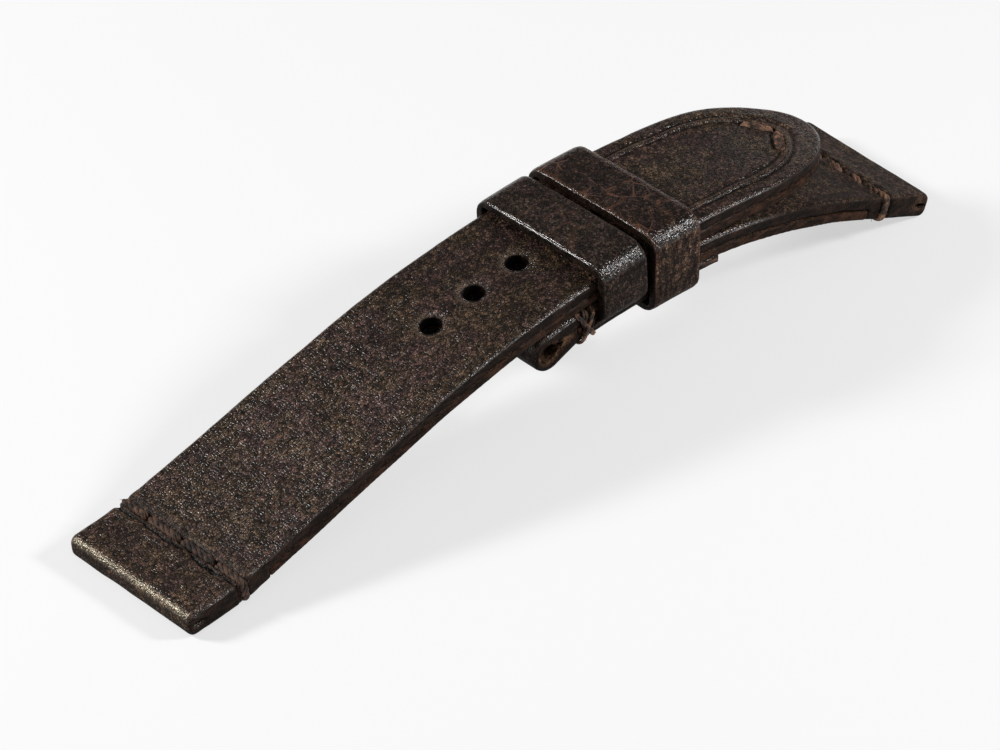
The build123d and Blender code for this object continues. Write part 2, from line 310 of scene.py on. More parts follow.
def finished(mesh, name, node, body, material):
    mesh.materials.append(material)
    piece = bpy.data.objects.new(name, mesh)
    scene.collection.objects.link(piece)
    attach(piece, body)
    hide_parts(node)


def skin(node, body, material, voxel, shape, cut_side):
    # A leather piece: its shape function says how far each point moves, how it is worn, and where painted shade
    # and painted highlights go
    mesh = fine_mesh(node, voxel, 2)
    points, normals = mesh_arrays(mesh)
    look = shape(points, normals)
    place_points(mesh, points + normals * look["out"][:, None] + look.get("shift", 0.0))
    set_attribute(mesh, "relief", relief(mesh, 12))
    set_attribute(mesh, "cut", smooth_step(0.6, 0.85, cut_side(points, normals)))
    steep = 1.0 - smooth_step(0.15, 0.55, normals[:, 2])
    set_attribute(mesh, "dull", np.maximum(look.get("dull", 0.0), steep))
    for name in ("wear_and_highlight", "raw", "shade", "buff"):
        set_attribute(mesh, name, look.get(name, np.zeros(len(points))))
    finished(mesh, node + "_skin", node, body, material)


# Where a point lies on the straps

def strap_place(points):
    # Distance along the arch from its crown, and height above the long strap's top face
    x = points[:, 0] - arch_x
    z = points[:, 2] - arch_z
    return np.arctan2(x, z) * arch_radius, np.hypot(x, z) - arch_radius


def row_place(points, row, slope):
    # Distances along and up from the middle of a stitch row or bore
    angle = math.radians(slope)
    x = points[:, 0] - row[0]
    z = points[:, 2] - row[2]
    return x * math.cos(angle) + z * math.sin(angle), z * math.cos(angle) - x * math.sin(angle)


def edge_inset(points, row, taper_place):
    # Distance in from the nearer long edge
    start_x = arch_x + taper_place
    share = np.clip((points[:, 0] - start_x) / (row[0] - start_x), 0.0, 1.0)
    return buckle_half + (lug_half - buckle_half) * share - np.abs(points[:, 1])


def rubbed(points, row, taper_place, seed):
    # How far the long edges are worn back, unevenly
    edge = 1.0 - smooth_step(0.0, rub_reach, edge_inset(points, row, taper_place))
    return rub_depth * edge * (0.5 + 0.5 * noise(points, 2.2, seed))


def long_cut(points, normals):
    # The long strap is cut along its sides and round its tip
    place, _ = strap_place(points)
    return np.hypot(np.where(place > tip_place - tip_length, normals[:, 0], 0.0), normals[:, 1])


def side_cut(points, normals):
    return np.abs(normals[:, 1])


def end_cut(points, normals):
    return np.abs(normals[:, 0])


# What stitches and bores do to the leather

def stitched(points, normals, row, slope, holes, nose_side, seed):
    # Pits at the holes, a crevice on the nose side of the row, and bulges between the holes; painted shade
    # darkens the crevice and the pits
    along, _ = row_place(points, row, slope)
    along = along * nose_side
    across = points[:, 1]
    line = np.stack([across, np.zeros_like(across), np.zeros_like(across)], axis=1)
    top = smooth_step(0.2, 0.8, normals[:, 2])
    edge = smooth_step(0.3, 0.8, np.abs(normals[:, 1]))
    nearest = np.min([np.abs(across - hole) for hole in holes], axis=0)
    at_hole = hill(nearest, pit_radius)
    crevice_place = crevice_reach + crevice_wander * noise(line, 1.9, seed) - 0.35 * at_hole
    crevice = hill(along - crevice_place, crevice_width) * (0.85 + 0.5 * noise(line, 2.3, seed + 1))
    pit = hill(np.hypot(along - 0.3, nearest), pit_radius)
    bulge = (1.0 - at_hole) * (0.7 * hill(along - 2.1, 0.8) + hill(along + 1.5, 0.9))
    raised = bulge_height * bulge * (1.0 + 0.7 * noise(line, 3.0, seed + 2))
    out = top * (raised - crevice_depth * crevice - pit_depth * pit)
    out -= top * 0.08 * hill(along, 0.9)
    out -= edge * (0.2 * hill(along, 0.75) + 0.3 * hill(along - 0.9, 0.3))
    out += hill(along, 3.2) * 0.06 * noise(points, 1.6, seed + 3)
    return out, top * np.minimum(0.9 * crevice + 0.8 * pit, 1.0), 0.75 * hill(along, 2.2)


def closed_bore(points, bore, slope):
    # The leather lies nearly closed where no bar holds it open
    along, up = row_place(points, bore, slope)
    reach = np.hypot(along, up)
    move = -bore_closing * up * (1.0 - smooth_step(bore_closed_reach, bore_open_reach, reach))
    angle = math.radians(slope)
    return np.stack([-math.sin(angle) * move, np.zeros_like(move), math.cos(angle) * move], axis=1), reach


def painted_underside_shade(normals):
    # Painted shade: leather that faces down is darkened in its colour
    return underside_shade * (1.0 - smooth_step(-0.6, 0.5, normals[:, 2]))


# The shapes of the leather pieces

def long_outer_shape(points, normals):
    place, _ = strap_place(points)
    top = smooth_step(0.3, 0.8, normals[:, 2])
    inset = edge_inset(points, long_row, long_taper_place)
    out = uneven(points, 11, 0.09, 0.04, 0.016)
    # A doubled crease inside the edges of the tail, which follows the round of the tip
    tail = smooth_step(4.0, 9.0, place)
    past = np.maximum(place - (tip_place - tip_length), 0.0) / tip_length
    tip_inset = buckle_half * (1.0 - np.hypot(past, points[:, 1] / buckle_half))
    line_inset = np.where(past > 0.0, tip_inset, inset) + 0.25 * noise(points, 5.0, 31)
    lip = hill(line_inset - lip_inset, lip_width)
    outer_groove = outer_groove_depth * hill(line_inset - outer_groove_inset, groove_width)
    inner_groove = inner_groove_depth * hill(line_inset - inner_groove_inset, groove_width)
    out += top * tail * (lip_height * lip - outer_groove - inner_groove)
    # The leather dips towards each tongue hole and is worn on the rim; one side of each rim is made lighter as
    # a painted highlight, and the inside of each hole is darkened with painted shade
    rim_wear_and_highlight = np.zeros(len(points))
    painted_hole_shade = np.zeros(len(points))
    for hole_place in hole_places:
        away = place - hole_place
        reach = np.hypot(away, points[:, 1])
        out -= hole_dip_depth * top * (1.0 - smooth_step(hole_radius, hole_radius + hole_dip_reach, reach))
        highlight_side = 0.2 + 0.8 * smooth_step(-0.6, 1.6, points[:, 1] - away)
        rim_wear_and_highlight = np.maximum(rim_wear_and_highlight, hill(reach - hole_radius - 0.5, 0.55) * highlight_side)
        painted_hole_shade = np.maximum(painted_hole_shade, 1.0 - smooth_step(hole_radius - 0.1, hole_radius + 0.25, reach))
    # The two arms of the tip's stitch are drawn into the leather
    back = tip_stitch_place - tip_stitch_end_place
    length = math.hypot(back, tip_stitch_reach)
    for side in (-1, 1):
        turn = math.atan2(back, tip_stitch_reach) * side
        ahead = place - tip_stitch_place
        arm = side * (points[:, 1] * math.cos(turn) - ahead * math.sin(turn))
        beside = ahead * math.cos(turn) + points[:, 1] * math.sin(turn)
        inside = smooth_step(-0.3, 0.6, arm) * (1.0 - smooth_step(length, length + 1.0, arm))
        groove = arm_groove_depth * hill(beside + arm_groove_place, arm_groove_width)
        out -= top * inside * (arm_dip_depth * hill(beside, arm_dip_width) + groove)
    row = (long_row, long_row_slope, long_lug_holes)
    row_out, row_shade, row_dull = stitched(points, normals, *row, -1, 41)
    out += row_out
    out -= rubbed(points, long_row, long_taper_place, 51)
    shift, _ = closed_bore(points, long_bore, long_row_slope / 2)
    # Wear on the crease lip, and wear with a painted highlight on the hole rims
    wear_and_highlight = top * np.maximum(0.8 * rim_wear_and_highlight, 0.7 * tail * lip * (0.5 + 0.5 * noise(points, 2.6, 52)))
    # Painted shade inside the tongue holes, in the stitch crevice and on faces turned down
    shade = np.maximum.reduce([0.9 * painted_hole_shade, row_shade, painted_underside_shade(normals)])
    # The roll of the nose is buffed, and the lower part of the nose is darkened with painted shade
    nose = 1.0 - smooth_step(long_row[0] - 5.0, long_row[0] - 3.0, points[:, 0])
    buff = nose * smooth_step(0.70, 0.96, normals @ np.array((-0.7, 0.0, 0.714)))
    shade = np.maximum(shade, 0.8 * nose * (1.0 - smooth_step(-0.95, 0.15, normals[:, 2])))
    return {"out": out, "shift": shift, "wear_and_highlight": wear_and_highlight, "shade": shade, "dull": row_dull, "buff": buff}


def long_lining_shape(points, normals):
    # The lining has closed up a little round each tongue hole, and painted shade darkens it there
    place, _ = strap_place(points)
    shift = np.zeros_like(points)
    painted_hole_shade = np.zeros(len(points))
    for hole_place in hole_places:
        away = place - hole_place
        reach = np.maximum(np.hypot(away, points[:, 1]), 0.01)
        near = 1.0 - smooth_step(hole_radius, hole_radius + lining_pull_reach, reach)
        painted_hole_shade = np.maximum(painted_hole_shade, near)
        pull = lining_pull * near / reach
        shift[:, 0] -= away * pull
        shift[:, 1] -= points[:, 1] * pull
    return {"out": uneven(points, 61, 0.05, 0.03, 0.012) - 0.03, "shift": shift, "shade": 0.9 * painted_hole_shade}


def short_lining_shape(points, normals):
    return {"out": uneven(points, 65, 0.05, 0.03, 0.012) - 0.03}


def short_outer_shape(points, normals):
    place, height = strap_place(points)
    out = uneven(points, 71, 0.06, 0.035, 0.014) - 0.03
    row = (short_row, short_row_slope, short_lug_holes)
    row_out, row_shade, row_dull = stitched(points, normals, *row, 1, 75)
    out += row_out
    out -= rubbed(points, short_row, short_taper_place, 53)
    shift, bore_reach = closed_bore(points, short_bore, short_row_slope)
    # The loop is open in a teardrop with a ragged, raw inside that lies back from its ends
    side = smooth_step(0.5, 0.85, np.abs(normals[:, 1]))
    x = points[:, 0] - loop_bore[0]
    z = points[:, 2] - loop_bore[2]
    slope = math.radians(loop_slope)
    ahead = np.clip(x * math.cos(slope) + z * math.sin(slope), 0.0, hollow_reach)
    drop = np.hypot(x - ahead * math.cos(slope), z - ahead * math.sin(slope)) + hollow_taper * ahead
    ragged = drop + 0.12 * noise(points, 0.9, 79)
    inside = 1.0 - smooth_step(hollow_radius, hollow_edge_radius, ragged)
    shift[:, 1] -= hollow_depth * np.sign(points[:, 1]) * side * inside * (0.8 + 0.4 * noise(points, 0.7, 77))
    raw = np.maximum(inside, 0.9 * side * hill(bore_reach - 0.7, 0.7))
    # Raw leather shows where the fold-back ends
    fold_end = (height < -7.9) & (place > 8.5) & (place < 13.5)
    raw = np.maximum(raw, np.where(fold_end, 0.8, 0.0))
    # Painted shade darkens the teardrop hollow, the stitch crevice and faces turned down, and a darker ring is
    # drawn round the hollow on the sides
    shade = 0.75 * (1.0 - smooth_step(0.9, 1.7, drop)) + 0.5 * side * hill(drop - 2.5, 0.5)
    shade = np.maximum.reduce([shade, row_shade, painted_underside_shade(normals)])
    # The lug end is worn dull
    dull = np.maximum(row_dull, 0.85 * smooth_step(14.0, 26.0, place))
    return {"out": out, "shift": shift, "raw": raw, "shade": shade, "dull": dull}


def keeper_shape(node, worn_and_highlight):
    low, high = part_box(node)
    centre = (low[0] + high[0]) / 2 / MM
    half = (high[0] - low[0]) / 2 / MM

    def shape(points, normals):
        _, height = strap_place(points)
        to_rim = half - np.abs(points[:, 0] - centre)
        face = 1.0 - smooth_step(0.3, 0.7, np.abs(normals[:, 0]))
        outward = smooth_step(0.2, 0.8, normals[:, 2])
        out = np.minimum(uneven(points, 81 + int(centre), 0.08, 0.035, 0.014), 0.06)
        out += keeper_crown * outward * (1.0 - (points[:, 1] / keeper_half_width) ** 2)
        # The band's edges are pressed down
        out -= keeper_edge_depth * face * (1.0 - smooth_step(0.1, 0.9, to_rim))
        wear_and_highlight = worn_and_highlight * hill(to_rim - 0.2, 0.4) * (0.6 + 0.4 * noise(points, 1.4, 91))
        # Painted shade darkens the band towards the bottom
        return {"out": out, "wear_and_highlight": wear_and_highlight, "shade": 0.5 * smooth_step(-1.0, -8.0, height)}

    return shape


# Materials: a small writer of shader nodes

class Shader:
    def __init__(self, name):
        self.material = bpy.data.materials.new(name)
        self.material.use_nodes = True
        self.tree = self.material.node_tree
        self.surface = self.tree.nodes["Principled BSDF"]
        coordinates = self.tree.nodes.new("ShaderNodeTexCoord")
        self.place = self.scaled(coordinates.outputs["Object"], 1.0 / MM)

    def put(self, socket, value):
        if isinstance(value, bpy.types.NodeSocket):
            self.tree.links.new(value, socket)
        elif isinstance(value, tuple) and socket.type == "RGBA":
            socket.default_value = (*value, 1.0)
        else:
            socket.default_value = value

    def vector(self, operation, first, second):
        node = self.tree.nodes.new("ShaderNodeVectorMath")
        node.operation = operation
        self.put(node.inputs[0], first)
        self.put(node.inputs[1], second)
        return node.outputs["Vector"]

    def scaled(self, value, factor):
        node = self.tree.nodes.new("ShaderNodeVectorMath")
        node.operation = "SCALE"
        self.put(node.inputs[0], value)
        self.put(node.inputs["Scale"], factor)
        return node.outputs["Vector"]

    def math(self, operation, first, second):
        node = self.tree.nodes.new("ShaderNodeMath")
        node.operation = operation
        self.put(node.inputs[0], first)
        self.put(node.inputs[1], second)
        return node.outputs[0]

    def times(self, first, *others):
        for other in others:
            first = self.math("MULTIPLY", first, other)
        return first

    def plus(self, first, *others):
        for other in others:
            first = self.math("ADD", first, other)
        return first

    def most(self, first, second):
        return self.math("MAXIMUM", first, second)

    def noise(self, size, detail=3.0, roughness=0.55, stretch=None, warp=0.0):
        node = self.tree.nodes.new("ShaderNodeTexNoise")
        self.put(node.inputs["Vector"], self.vector("MULTIPLY", self.place, stretch) if stretch else self.place)
        self.put(node.inputs["Scale"], 1.0 / size)
        self.put(node.inputs["Detail"], detail)
        self.put(node.inputs["Roughness"], roughness)
        self.put(node.inputs["Distortion"], warp)
        return node.outputs["Fac"]

    def warped(self, size, amount):
        node = self.tree.nodes.new("ShaderNodeTexNoise")
        self.put(node.inputs["Vector"], self.place)
        self.put(node.inputs["Scale"], 1.0 / size)
        shift = self.vector("SUBTRACT", node.outputs["Color"], (0.5, 0.5, 0.5))
        return self.vector("ADD", self.place, self.scaled(shift, amount))

    def cells(self, size, place, feature):
        node = self.tree.nodes.new("ShaderNodeTexVoronoi")
        node.feature = feature
        self.put(node.inputs["Vector"], place)
        self.put(node.inputs["Scale"], 1.0 / size)
        return node.outputs["Distance" if feature == "DISTANCE_TO_EDGE" else "Color"]

    def between(self, value, low, high, first=0.0, last=1.0):
        node = self.tree.nodes.new("ShaderNodeMapRange")
        node.interpolation_type = "SMOOTHSTEP"
        self.put(node.inputs["Value"], value)
        self.put(node.inputs["From Min"], low)
        self.put(node.inputs["From Max"], high)
        self.put(node.inputs["To Min"], first)
        self.put(node.inputs["To Max"], last)
        return node.outputs["Result"]

    def mix(self, share, first, second):
        node = self.tree.nodes.new("ShaderNodeMix")
        node.data_type = "RGBA"
        self.put(node.inputs[0], share)
        self.put(node.inputs[6], first)
        self.put(node.inputs[7], second)
        return node.outputs[2]

    def attribute(self, name):
        node = self.tree.nodes.new("ShaderNodeAttribute")
        node.attribute_name = name
        return node.outputs["Fac"]

    def bump(self, height):
        # Takes a height in millimetres
        node = self.tree.nodes.new("ShaderNodeBump")
        self.put(node.inputs["Height"], height)
        self.put(node.inputs["Distance"], MM)
        return node.outputs["Normal"]

    def set(self, **values):
        for name, value in values.items():
            self.put(self.surface.inputs[name.replace("_", " ")], value)


def leather(
    name,
    olive,
    plum,
    worn_and_highlight,
    cut_dark,
    cut_light,
    side_tone,
    cracks=0.0,
    grain=1.0,
    gloss=1.0,
    edge_gloss=1.0,
    buffed_tint=None,
):
    s = Shader(name)
    dull_value = s.attribute("dull")
    relief_value = s.attribute("relief")
    cut = s.attribute("cut")
    wear_and_highlight = s.attribute("wear_and_highlight")
    raw = s.attribute("raw")
    grain_place = s.warped(0.9, 0.35)
    pebble_edge = s.cells(pebble_size, grain_place, "DISTANCE_TO_EDGE")
    pebble_tone = s.cells(pebble_size, grain_place, "F1")
    fine = s.noise(fine_size, 2.0, 0.6)
    soft = s.noise(soft_size, 4.0, 0.6)
    broad = s.noise(broad_size, 3.0, 0.6)
    patch = s.noise(patch_size, 4.0, 0.62, warp=0.6)
    # Two tones in patches, lighter and darker areas, and a different tone on each pebble
    colour = s.mix(s.between(patch, 0.42, 0.58), olive, plum)
    lightness = s.times(
        s.between(broad, 0.35, 0.65, 0.80, 1.22),
        s.between(soft, 0.38, 0.62, 0.60, 1.35),
        s.between(fine, 0.40, 0.60, 0.35, 1.70),
        s.between(pebble_tone, 0.3, 0.7, 0.50, 1.50),
        s.between(pebble_edge, 0.0, 0.18, 0.18, 1.05),
    )
    wrinkles = s.noise(wrinkle_size, 3.0, 0.6, stretch=(1.0, 1.0, 0.22))
    side = s.times(dull_value, s.between(wrinkles, 0.40, 0.62))
    colour = s.mix(s.times(side, 0.8), colour, side_tone)
    colour = s.scaled(colour, lightness)
    # Cracks with lighter leather in them
    crack_place = s.warped(crack_warp_size, crack_warp)
    large_edge = s.cells(large_crack_size, crack_place, "DISTANCE_TO_EDGE")
    small_edge = s.cells(small_crack_size, crack_place, "DISTANCE_TO_EDGE")
    large = s.times(s.between(large_edge, 0.055, 0.0), s.between(broad, 0.38, 0.55))
    small = s.times(s.between(small_edge, 0.06, 0.0), s.between(patch, 0.5, 0.62))
    crack = s.times(s.most(large, small), s.between(dull_value, 0.0, 1.0, cracks, 0.1 * cracks))
    colour = s.mix(crack, colour, crack_colour)
    # Rubbed places, with a painted highlight on one side of the tongue hole rims, and painted shade that
    # darkens the creases and hollows
    rub_and_highlight = s.times(s.most(s.between(relief_value, 0.03, 0.13, 0.0, 0.35), wear_and_highlight), s.between(fine, 0.36, 0.6))
    colour = s.mix(s.times(rub_and_highlight, 0.75), colour, worn_and_highlight)
    colour = s.scaled(colour, s.between(relief_value, -0.13, -0.015, 0.10, 1.0))
    # The cut edge: dark burnish over layers of fibre
    layers = s.noise(layer_size, 4.0, 0.7, stretch=(0.16, 1.0, 1.0))
    blots = s.noise(blot_size, 3.0, 0.6)
    cut_colour = s.mix(s.between(s.plus(layers, s.times(blots, 0.6)), 0.72, 0.94), cut_dark, cut_light)
    cut_colour = s.scaled(cut_colour, s.between(fine, 0.3, 0.7, 0.6, 1.5))
    colour = s.mix(s.times(cut, 0.92), colour, cut_colour)
    # Raw leather
    fibre = s.noise(fibre_size, 4.0, 0.75)
    raw_colour = s.mix(s.between(fibre, 0.38, 0.62), raw_dark, raw_light)
    colour = s.mix(s.times(raw, s.between(blots, 0.30, 0.62, 0.25, 1.0)), colour, raw_colour)
    # Painted shade from the shade attribute darkens the colour
    colour = s.scaled(colour, s.between(s.attribute("shade"), 0.0, 1.0, 1.0, 0.0))
    # Gloss: upper edges are polished, and sides, cuts and raw leather are dull
    dull = s.most(dull_value, raw)
    buff = s.attribute("buff")
    polish = s.times(s.between(relief_value, 0.03, 0.11, 0.0, edge_gloss), s.math("SUBTRACT", 1.0, dull))
    polish = s.most(polish, s.times(buff, 0.4))
    mottle = s.times(s.plus(patch, fine), 0.10)
    roughness = s.plus(
        0.30 - 0.12 * gloss,
        mottle,
        s.times(dull, 0.3),
        s.times(polish, -0.08),
        s.times(buff, 0.06),
    )
    # Height in millimetres
    face = s.times(s.between(cut, 0.0, 1.0, grain, 0.25 * grain), s.between(polish, 0.0, 1.0, 1.0, 0.06))
    height = s.plus(
        s.times(s.between(pebble_edge, 0.0, 0.30), face, pebble_height),
        s.times(fine, face, fine_height),
        s.times(soft, s.between(polish, 0.0, 1.0, 0.12, 0.02)),
        s.times(layers, cut, 0.10),
        s.times(wrinkles, dull_value, 0.08),
        s.times(fibre, raw, 0.12),
        s.times(crack, -0.10),
    )
    s.set(Base_Color=colour, Roughness=roughness, Normal=s.bump(height))
    shine = s.between(dull, 0.0, 1.0, 0.45 * min(gloss, 1.0), 0.05)
    s.set(Specular_IOR_Level=s.plus(shine, s.times(buff, 0.4)))
    if buffed_tint is not None:
        s.set(Specular_Tint=s.mix(buff, (1.0, 1.0, 1.0), buffed_tint))
    return s.material


def thread_material():
    s = Shader("waxed_thread")
    hair = s.noise(0.13, 4.0, 0.7)
    patch = s.noise(1.8, 3.0, 0.6)
    colour = s.mix(s.between(patch, 0.42, 0.62), (0.014, 0.009, 0.007), (0.060, 0.034, 0.023))
    faded = s.times(s.attribute("wear_and_highlight"), s.between(patch, 0.40, 0.58, 0.1, 0.9))
    colour = s.mix(faded, colour, (0.22, 0.115, 0.07))
    colour = s.scaled(colour, s.between(hair, 0.38, 0.62, 0.3, 1.7))
    # Painted shade from the plies' shade attribute darkens the thread
    colour = s.scaled(colour, s.between(s.attribute("shade"), 0.0, 1.0, 1.0, 0.0))
    s.set(Base_Color=colour, Roughness=0.6, Normal=s.bump(s.times(hair, 0.07)))
    s.set(Specular_IOR_Level=0.3)
    return s.material


outer_material = leather(
    "outer_leather_finish",
    buffed_tint=(1.0, 0.88, 0.66),
    olive=(0.057, 0.035, 0.021),
    plum=(0.051, 0.028, 0.022),
    worn_and_highlight=(0.16, 0.115, 0.085),
    cut_dark=(0.007, 0.005, 0.004),
    cut_light=(0.030, 0.016, 0.011),
    side_tone=(0.050, 0.030, 0.020),
)
lining_material = leather(
    "lining_leather_finish",
    olive=(0.040, 0.022, 0.013),
    plum=(0.046, 0.020, 0.013),
    worn_and_highlight=(0.12, 0.07, 0.045),
    cut_dark=(0.010, 0.006, 0.004),
    cut_light=(0.044, 0.021, 0.013),
    side_tone=(0.050, 0.030, 0.020),
    grain=0.5,
    gloss=0.2,
)
keeper_material = leather(
    "keeper_leather_finish",
    olive=(0.037, 0.024, 0.017),
    plum=(0.031, 0.020, 0.017),
    worn_and_highlight=(0.15, 0.10, 0.075),
    cut_dark=(0.004, 0.003, 0.002),
    cut_light=(0.022, 0.013, 0.009),
    side_tone=(0.030, 0.020, 0.015),
    cracks=0.25,
    grain=0.6,
    gloss=1.4,
)
sliding_material = leather(
    "sliding_keeper_finish",
    olive=(0.036, 0.020, 0.013),
    plum=(0.028, 0.016, 0.013),
    worn_and_highlight=(0.24, 0.12, 0.075),
    cut_dark=(0.005, 0.003, 0.002),
    cut_light=(0.014, 0.008, 0.006),
    side_tone=(0.135, 0.082, 0.056),
    cracks=0.6,
    grain=0.6,
    gloss=1.4,
    edge_gloss=0.0,
)
thread_finish = thread_material()


# The leather pieces

skin("long_outer_leather", "long_strap", outer_material, 0.22, long_outer_shape, long_cut)
skin("long_lining", "long_strap", lining_material, 0.3, long_lining_shape, long_cut)
skin("short_outer_leather", "short_strap", outer_material, 0.24, short_outer_shape, side_cut)
skin("short_lining", "short_strap", lining_material, 0.3, short_lining_shape, side_cut)
skin("fixed_keeper", "short_strap", keeper_material, 0.2, keeper_shape("fixed_keeper", 0.1), end_cut)
skin("sliding_keeper", "sliding_keeper", sliding_material, 0.2, keeper_shape("sliding_keeper", 0.7), end_cut)


# Threads: each stitch is a flattened loop of twisted plies

def headings(path, closed):
    # The direction of a line at each of its points
    ahead = np.roll(path, -1, axis=0) - np.roll(path, 1, axis=0) if closed else np.gradient(path, axis=0)
    return ahead / np.linalg.norm(ahead, axis=1)[:, None]


class Plies:
    def __init__(self, place):
        self.place = place
        self.points = []
        self.faces = []
        self.wear_and_highlight = []
        self.shade = []
        self.count = 0

    def tube(self, path, radii, sides, closed, wear_and_highlight, shade):
        count = len(path)
        ahead = headings(path, closed)
        side = np.cross(ahead, (0.93, 0.11, 0.35))
        side /= np.linalg.norm(side, axis=1)[:, None]
        up = np.cross(side, ahead)
        turn = np.arange(sides) * (2.0 * math.pi / sides)
        ring = side[:, None] * np.cos(turn)[None, :, None] + up[:, None] * np.sin(turn)[None, :, None]
        points = (path[:, None] + ring * radii[:, None, None]).reshape(-1, 3)
        self.points.append(points @ np.array(self.place.to_3x3()).T + np.array(self.place.translation))
        self.wear_and_highlight.append(np.full(count * sides, wear_and_highlight))
        self.shade.append(np.repeat(shade, sides))
        rows = count if closed else count - 1
        first = np.arange(rows)[:, None] * sides + np.arange(sides)[None, :]
        other = np.arange(rows)[:, None] * sides + (np.arange(sides)[None, :] + 1) % sides
        after = (first + sides) % (count * sides)
        after_other = (other + sides) % (count * sides)
        quads = np.stack([first, other, after_other, after], axis=2).reshape(-1, 4) + self.count
        self.faces += quads.tolist()
        if not closed:
            last = self.count + (count - 1) * sides
            self.faces.append([self.count + corner for corner in range(sides)][::-1])
            self.faces.append([last + corner for corner in range(sides)])
        self.count += count * sides

    def thread(self, path, length, closed, random, girth, wear_and_highlight, fibres):
        # Three plies wound round a line, wider than they are high, and loose fibres
        ahead = headings(path, closed)
        side = np.array((1.0, 0.0, 0.0)) - ahead * ahead[:, :1]
        side /= np.linalg.norm(side, axis=1)[:, None]
        up = np.cross(ahead, side)
        turns = max(round(length / twist_pitch), 1)
        start = random.uniform(0.0, 2.0 * math.pi)
        along = np.arange(len(path)) / len(path)
        for ply in range(ply_count):
            angle = start + ply * 2.0 * math.pi / ply_count + along * turns * 2.0 * math.pi
            wide = side * (np.cos(angle) * ply_spread_wide)[:, None]
            high = up * (np.sin(angle) * ply_spread_high)[:, None]
            radii = ply_radius * girth * (1.0 + 0.12 * np.sin(angle * 2.0 + start))
            line = path + (wide + high) * girth
            # Painted shade darkens each ply in turn along its twist
            self.tube(line, radii, ply_sides, closed, wear_and_highlight, 0.4 * np.sin(angle + ply) ** 2)
        for _ in range(fibres):
            at = random.integers(0, len(path))
            reach = random.uniform(0.5, 1.5)
            bend = random.uniform(-0.5, 0.5, 3)
            t = np.linspace(0.0, 1.0, 6)[:, None]
            lift = up[at] * random.uniform(-0.35, 0.15) + side[at] * random.uniform(-0.7, 0.7)
            line = path[at] - up[at] * 0.35 + (ahead[at] * 0.7 + lift) * reach * t + bend * t * t * 0.5
            self.tube(line, np.linspace(*fibre_radii, 6), fibre_sides, False, wear_and_highlight, np.zeros(6))

    def piece(self, node, body):
        mesh = bpy.data.meshes.new(node + "_plies")
        mesh.from_pydata((np.concatenate(self.points) * MM).tolist(), [], self.faces)
        mesh.update()
        mesh.shade_smooth()
        set_attribute(mesh, "wear_and_highlight", np.concatenate(self.wear_and_highlight))
        set_attribute(mesh, "shade", np.concatenate(self.shade))
        finished(mesh, node + "_plies", node, body, thread_finish)


def resampled(points, step=0.12):
    lengths = np.r_[0.0, np.cumsum(np.linalg.norm(np.diff(points, axis=0), axis=1))]
    samples = np.linspace(0.0, lengths[-1], int(lengths[-1] / step) + 1)
    return np.stack([np.interp(samples, lengths, points[:, axis]) for axis in range(3)], axis=1), lengths[-1]


def loop_path(first, last, low, high, corner=0.62):
    # A closed loop in a plane across the strap, with round corners
    points = []
    arcs = (
        (last - corner, high - corner, 90.0),
        (last - corner, low + corner, 0.0),
        (first + corner, low + corner, -90.0),
        (first + corner, high - corner, -180.0),
    )
    for across, up, start in arcs:
        for index in range(9):
            angle = math.radians(start - 90.0 * index / 8)
            points.append((0.0, across + corner * math.cos(angle), up + corner * math.sin(angle)))
    path, length = resampled(np.array(points + points[:1]))
    return path[:-1], length


def curve_path(points):
    # A smooth line through a few points
    points = np.array(points)
    padded = np.vstack([points[0] * 2 - points[1], points, points[-1] * 2 - points[-2]])
    line = []
    for a, b, c, d in zip(padded, padded[1:], padded[2:], padded[3:]):
        for t in np.linspace(0.0, 1.0, 12, endpoint=False):
            square = (2 * a - 5 * b + 4 * c - d) * t * t
            cube = (3 * b - a - 3 * c + d) * t**3
            line.append(0.5 * (2 * b + (c - a) * t + square + cube))
    line.append(points[-1])
    return resampled(np.array(line))


def row_spots(half, holes, thickness, rise):
    # Measured from the middle of the leather's thickness
    high = thickness / 2 + rise - thread_radius
    edge = half + edge_rise - thread_radius
    lasts = [edge] + [hole - leg_place for hole in holes]
    firsts = [hole + leg_place for hole in holes] + [-edge]
    return [(first, last, -high, high) for first, last in zip(firsts, lasts)]


def sloped(point, slope):
    return Matrix.Translation(point) @ Matrix.Rotation(math.radians(-slope), 4, "Y")


def on_arch(place, depth, turn):
    turned = Matrix.Translation((0.0, 0.0, arch_radius - depth)) @ Matrix.Rotation(math.radians(turn), 4, "Z")
    return Matrix.Translation((arch_x, 0.0, arch_z)) @ Matrix.Rotation(place / arch_radius, 4, "Y") @ turned


def lug_thread(node, body, row, slope, holes, wears, seed):
    plies = Plies(sloped(row, slope))
    random = np.random.default_rng(seed)
    for spot, wear_and_highlight in zip(row_spots(lug_half, holes, lug_thickness, lug_rise), wears):
        plies.thread(*loop_path(*spot), True, random, random.uniform(0.9, 1.12), wear_and_highlight, 6)
    plies.piece(node, body)


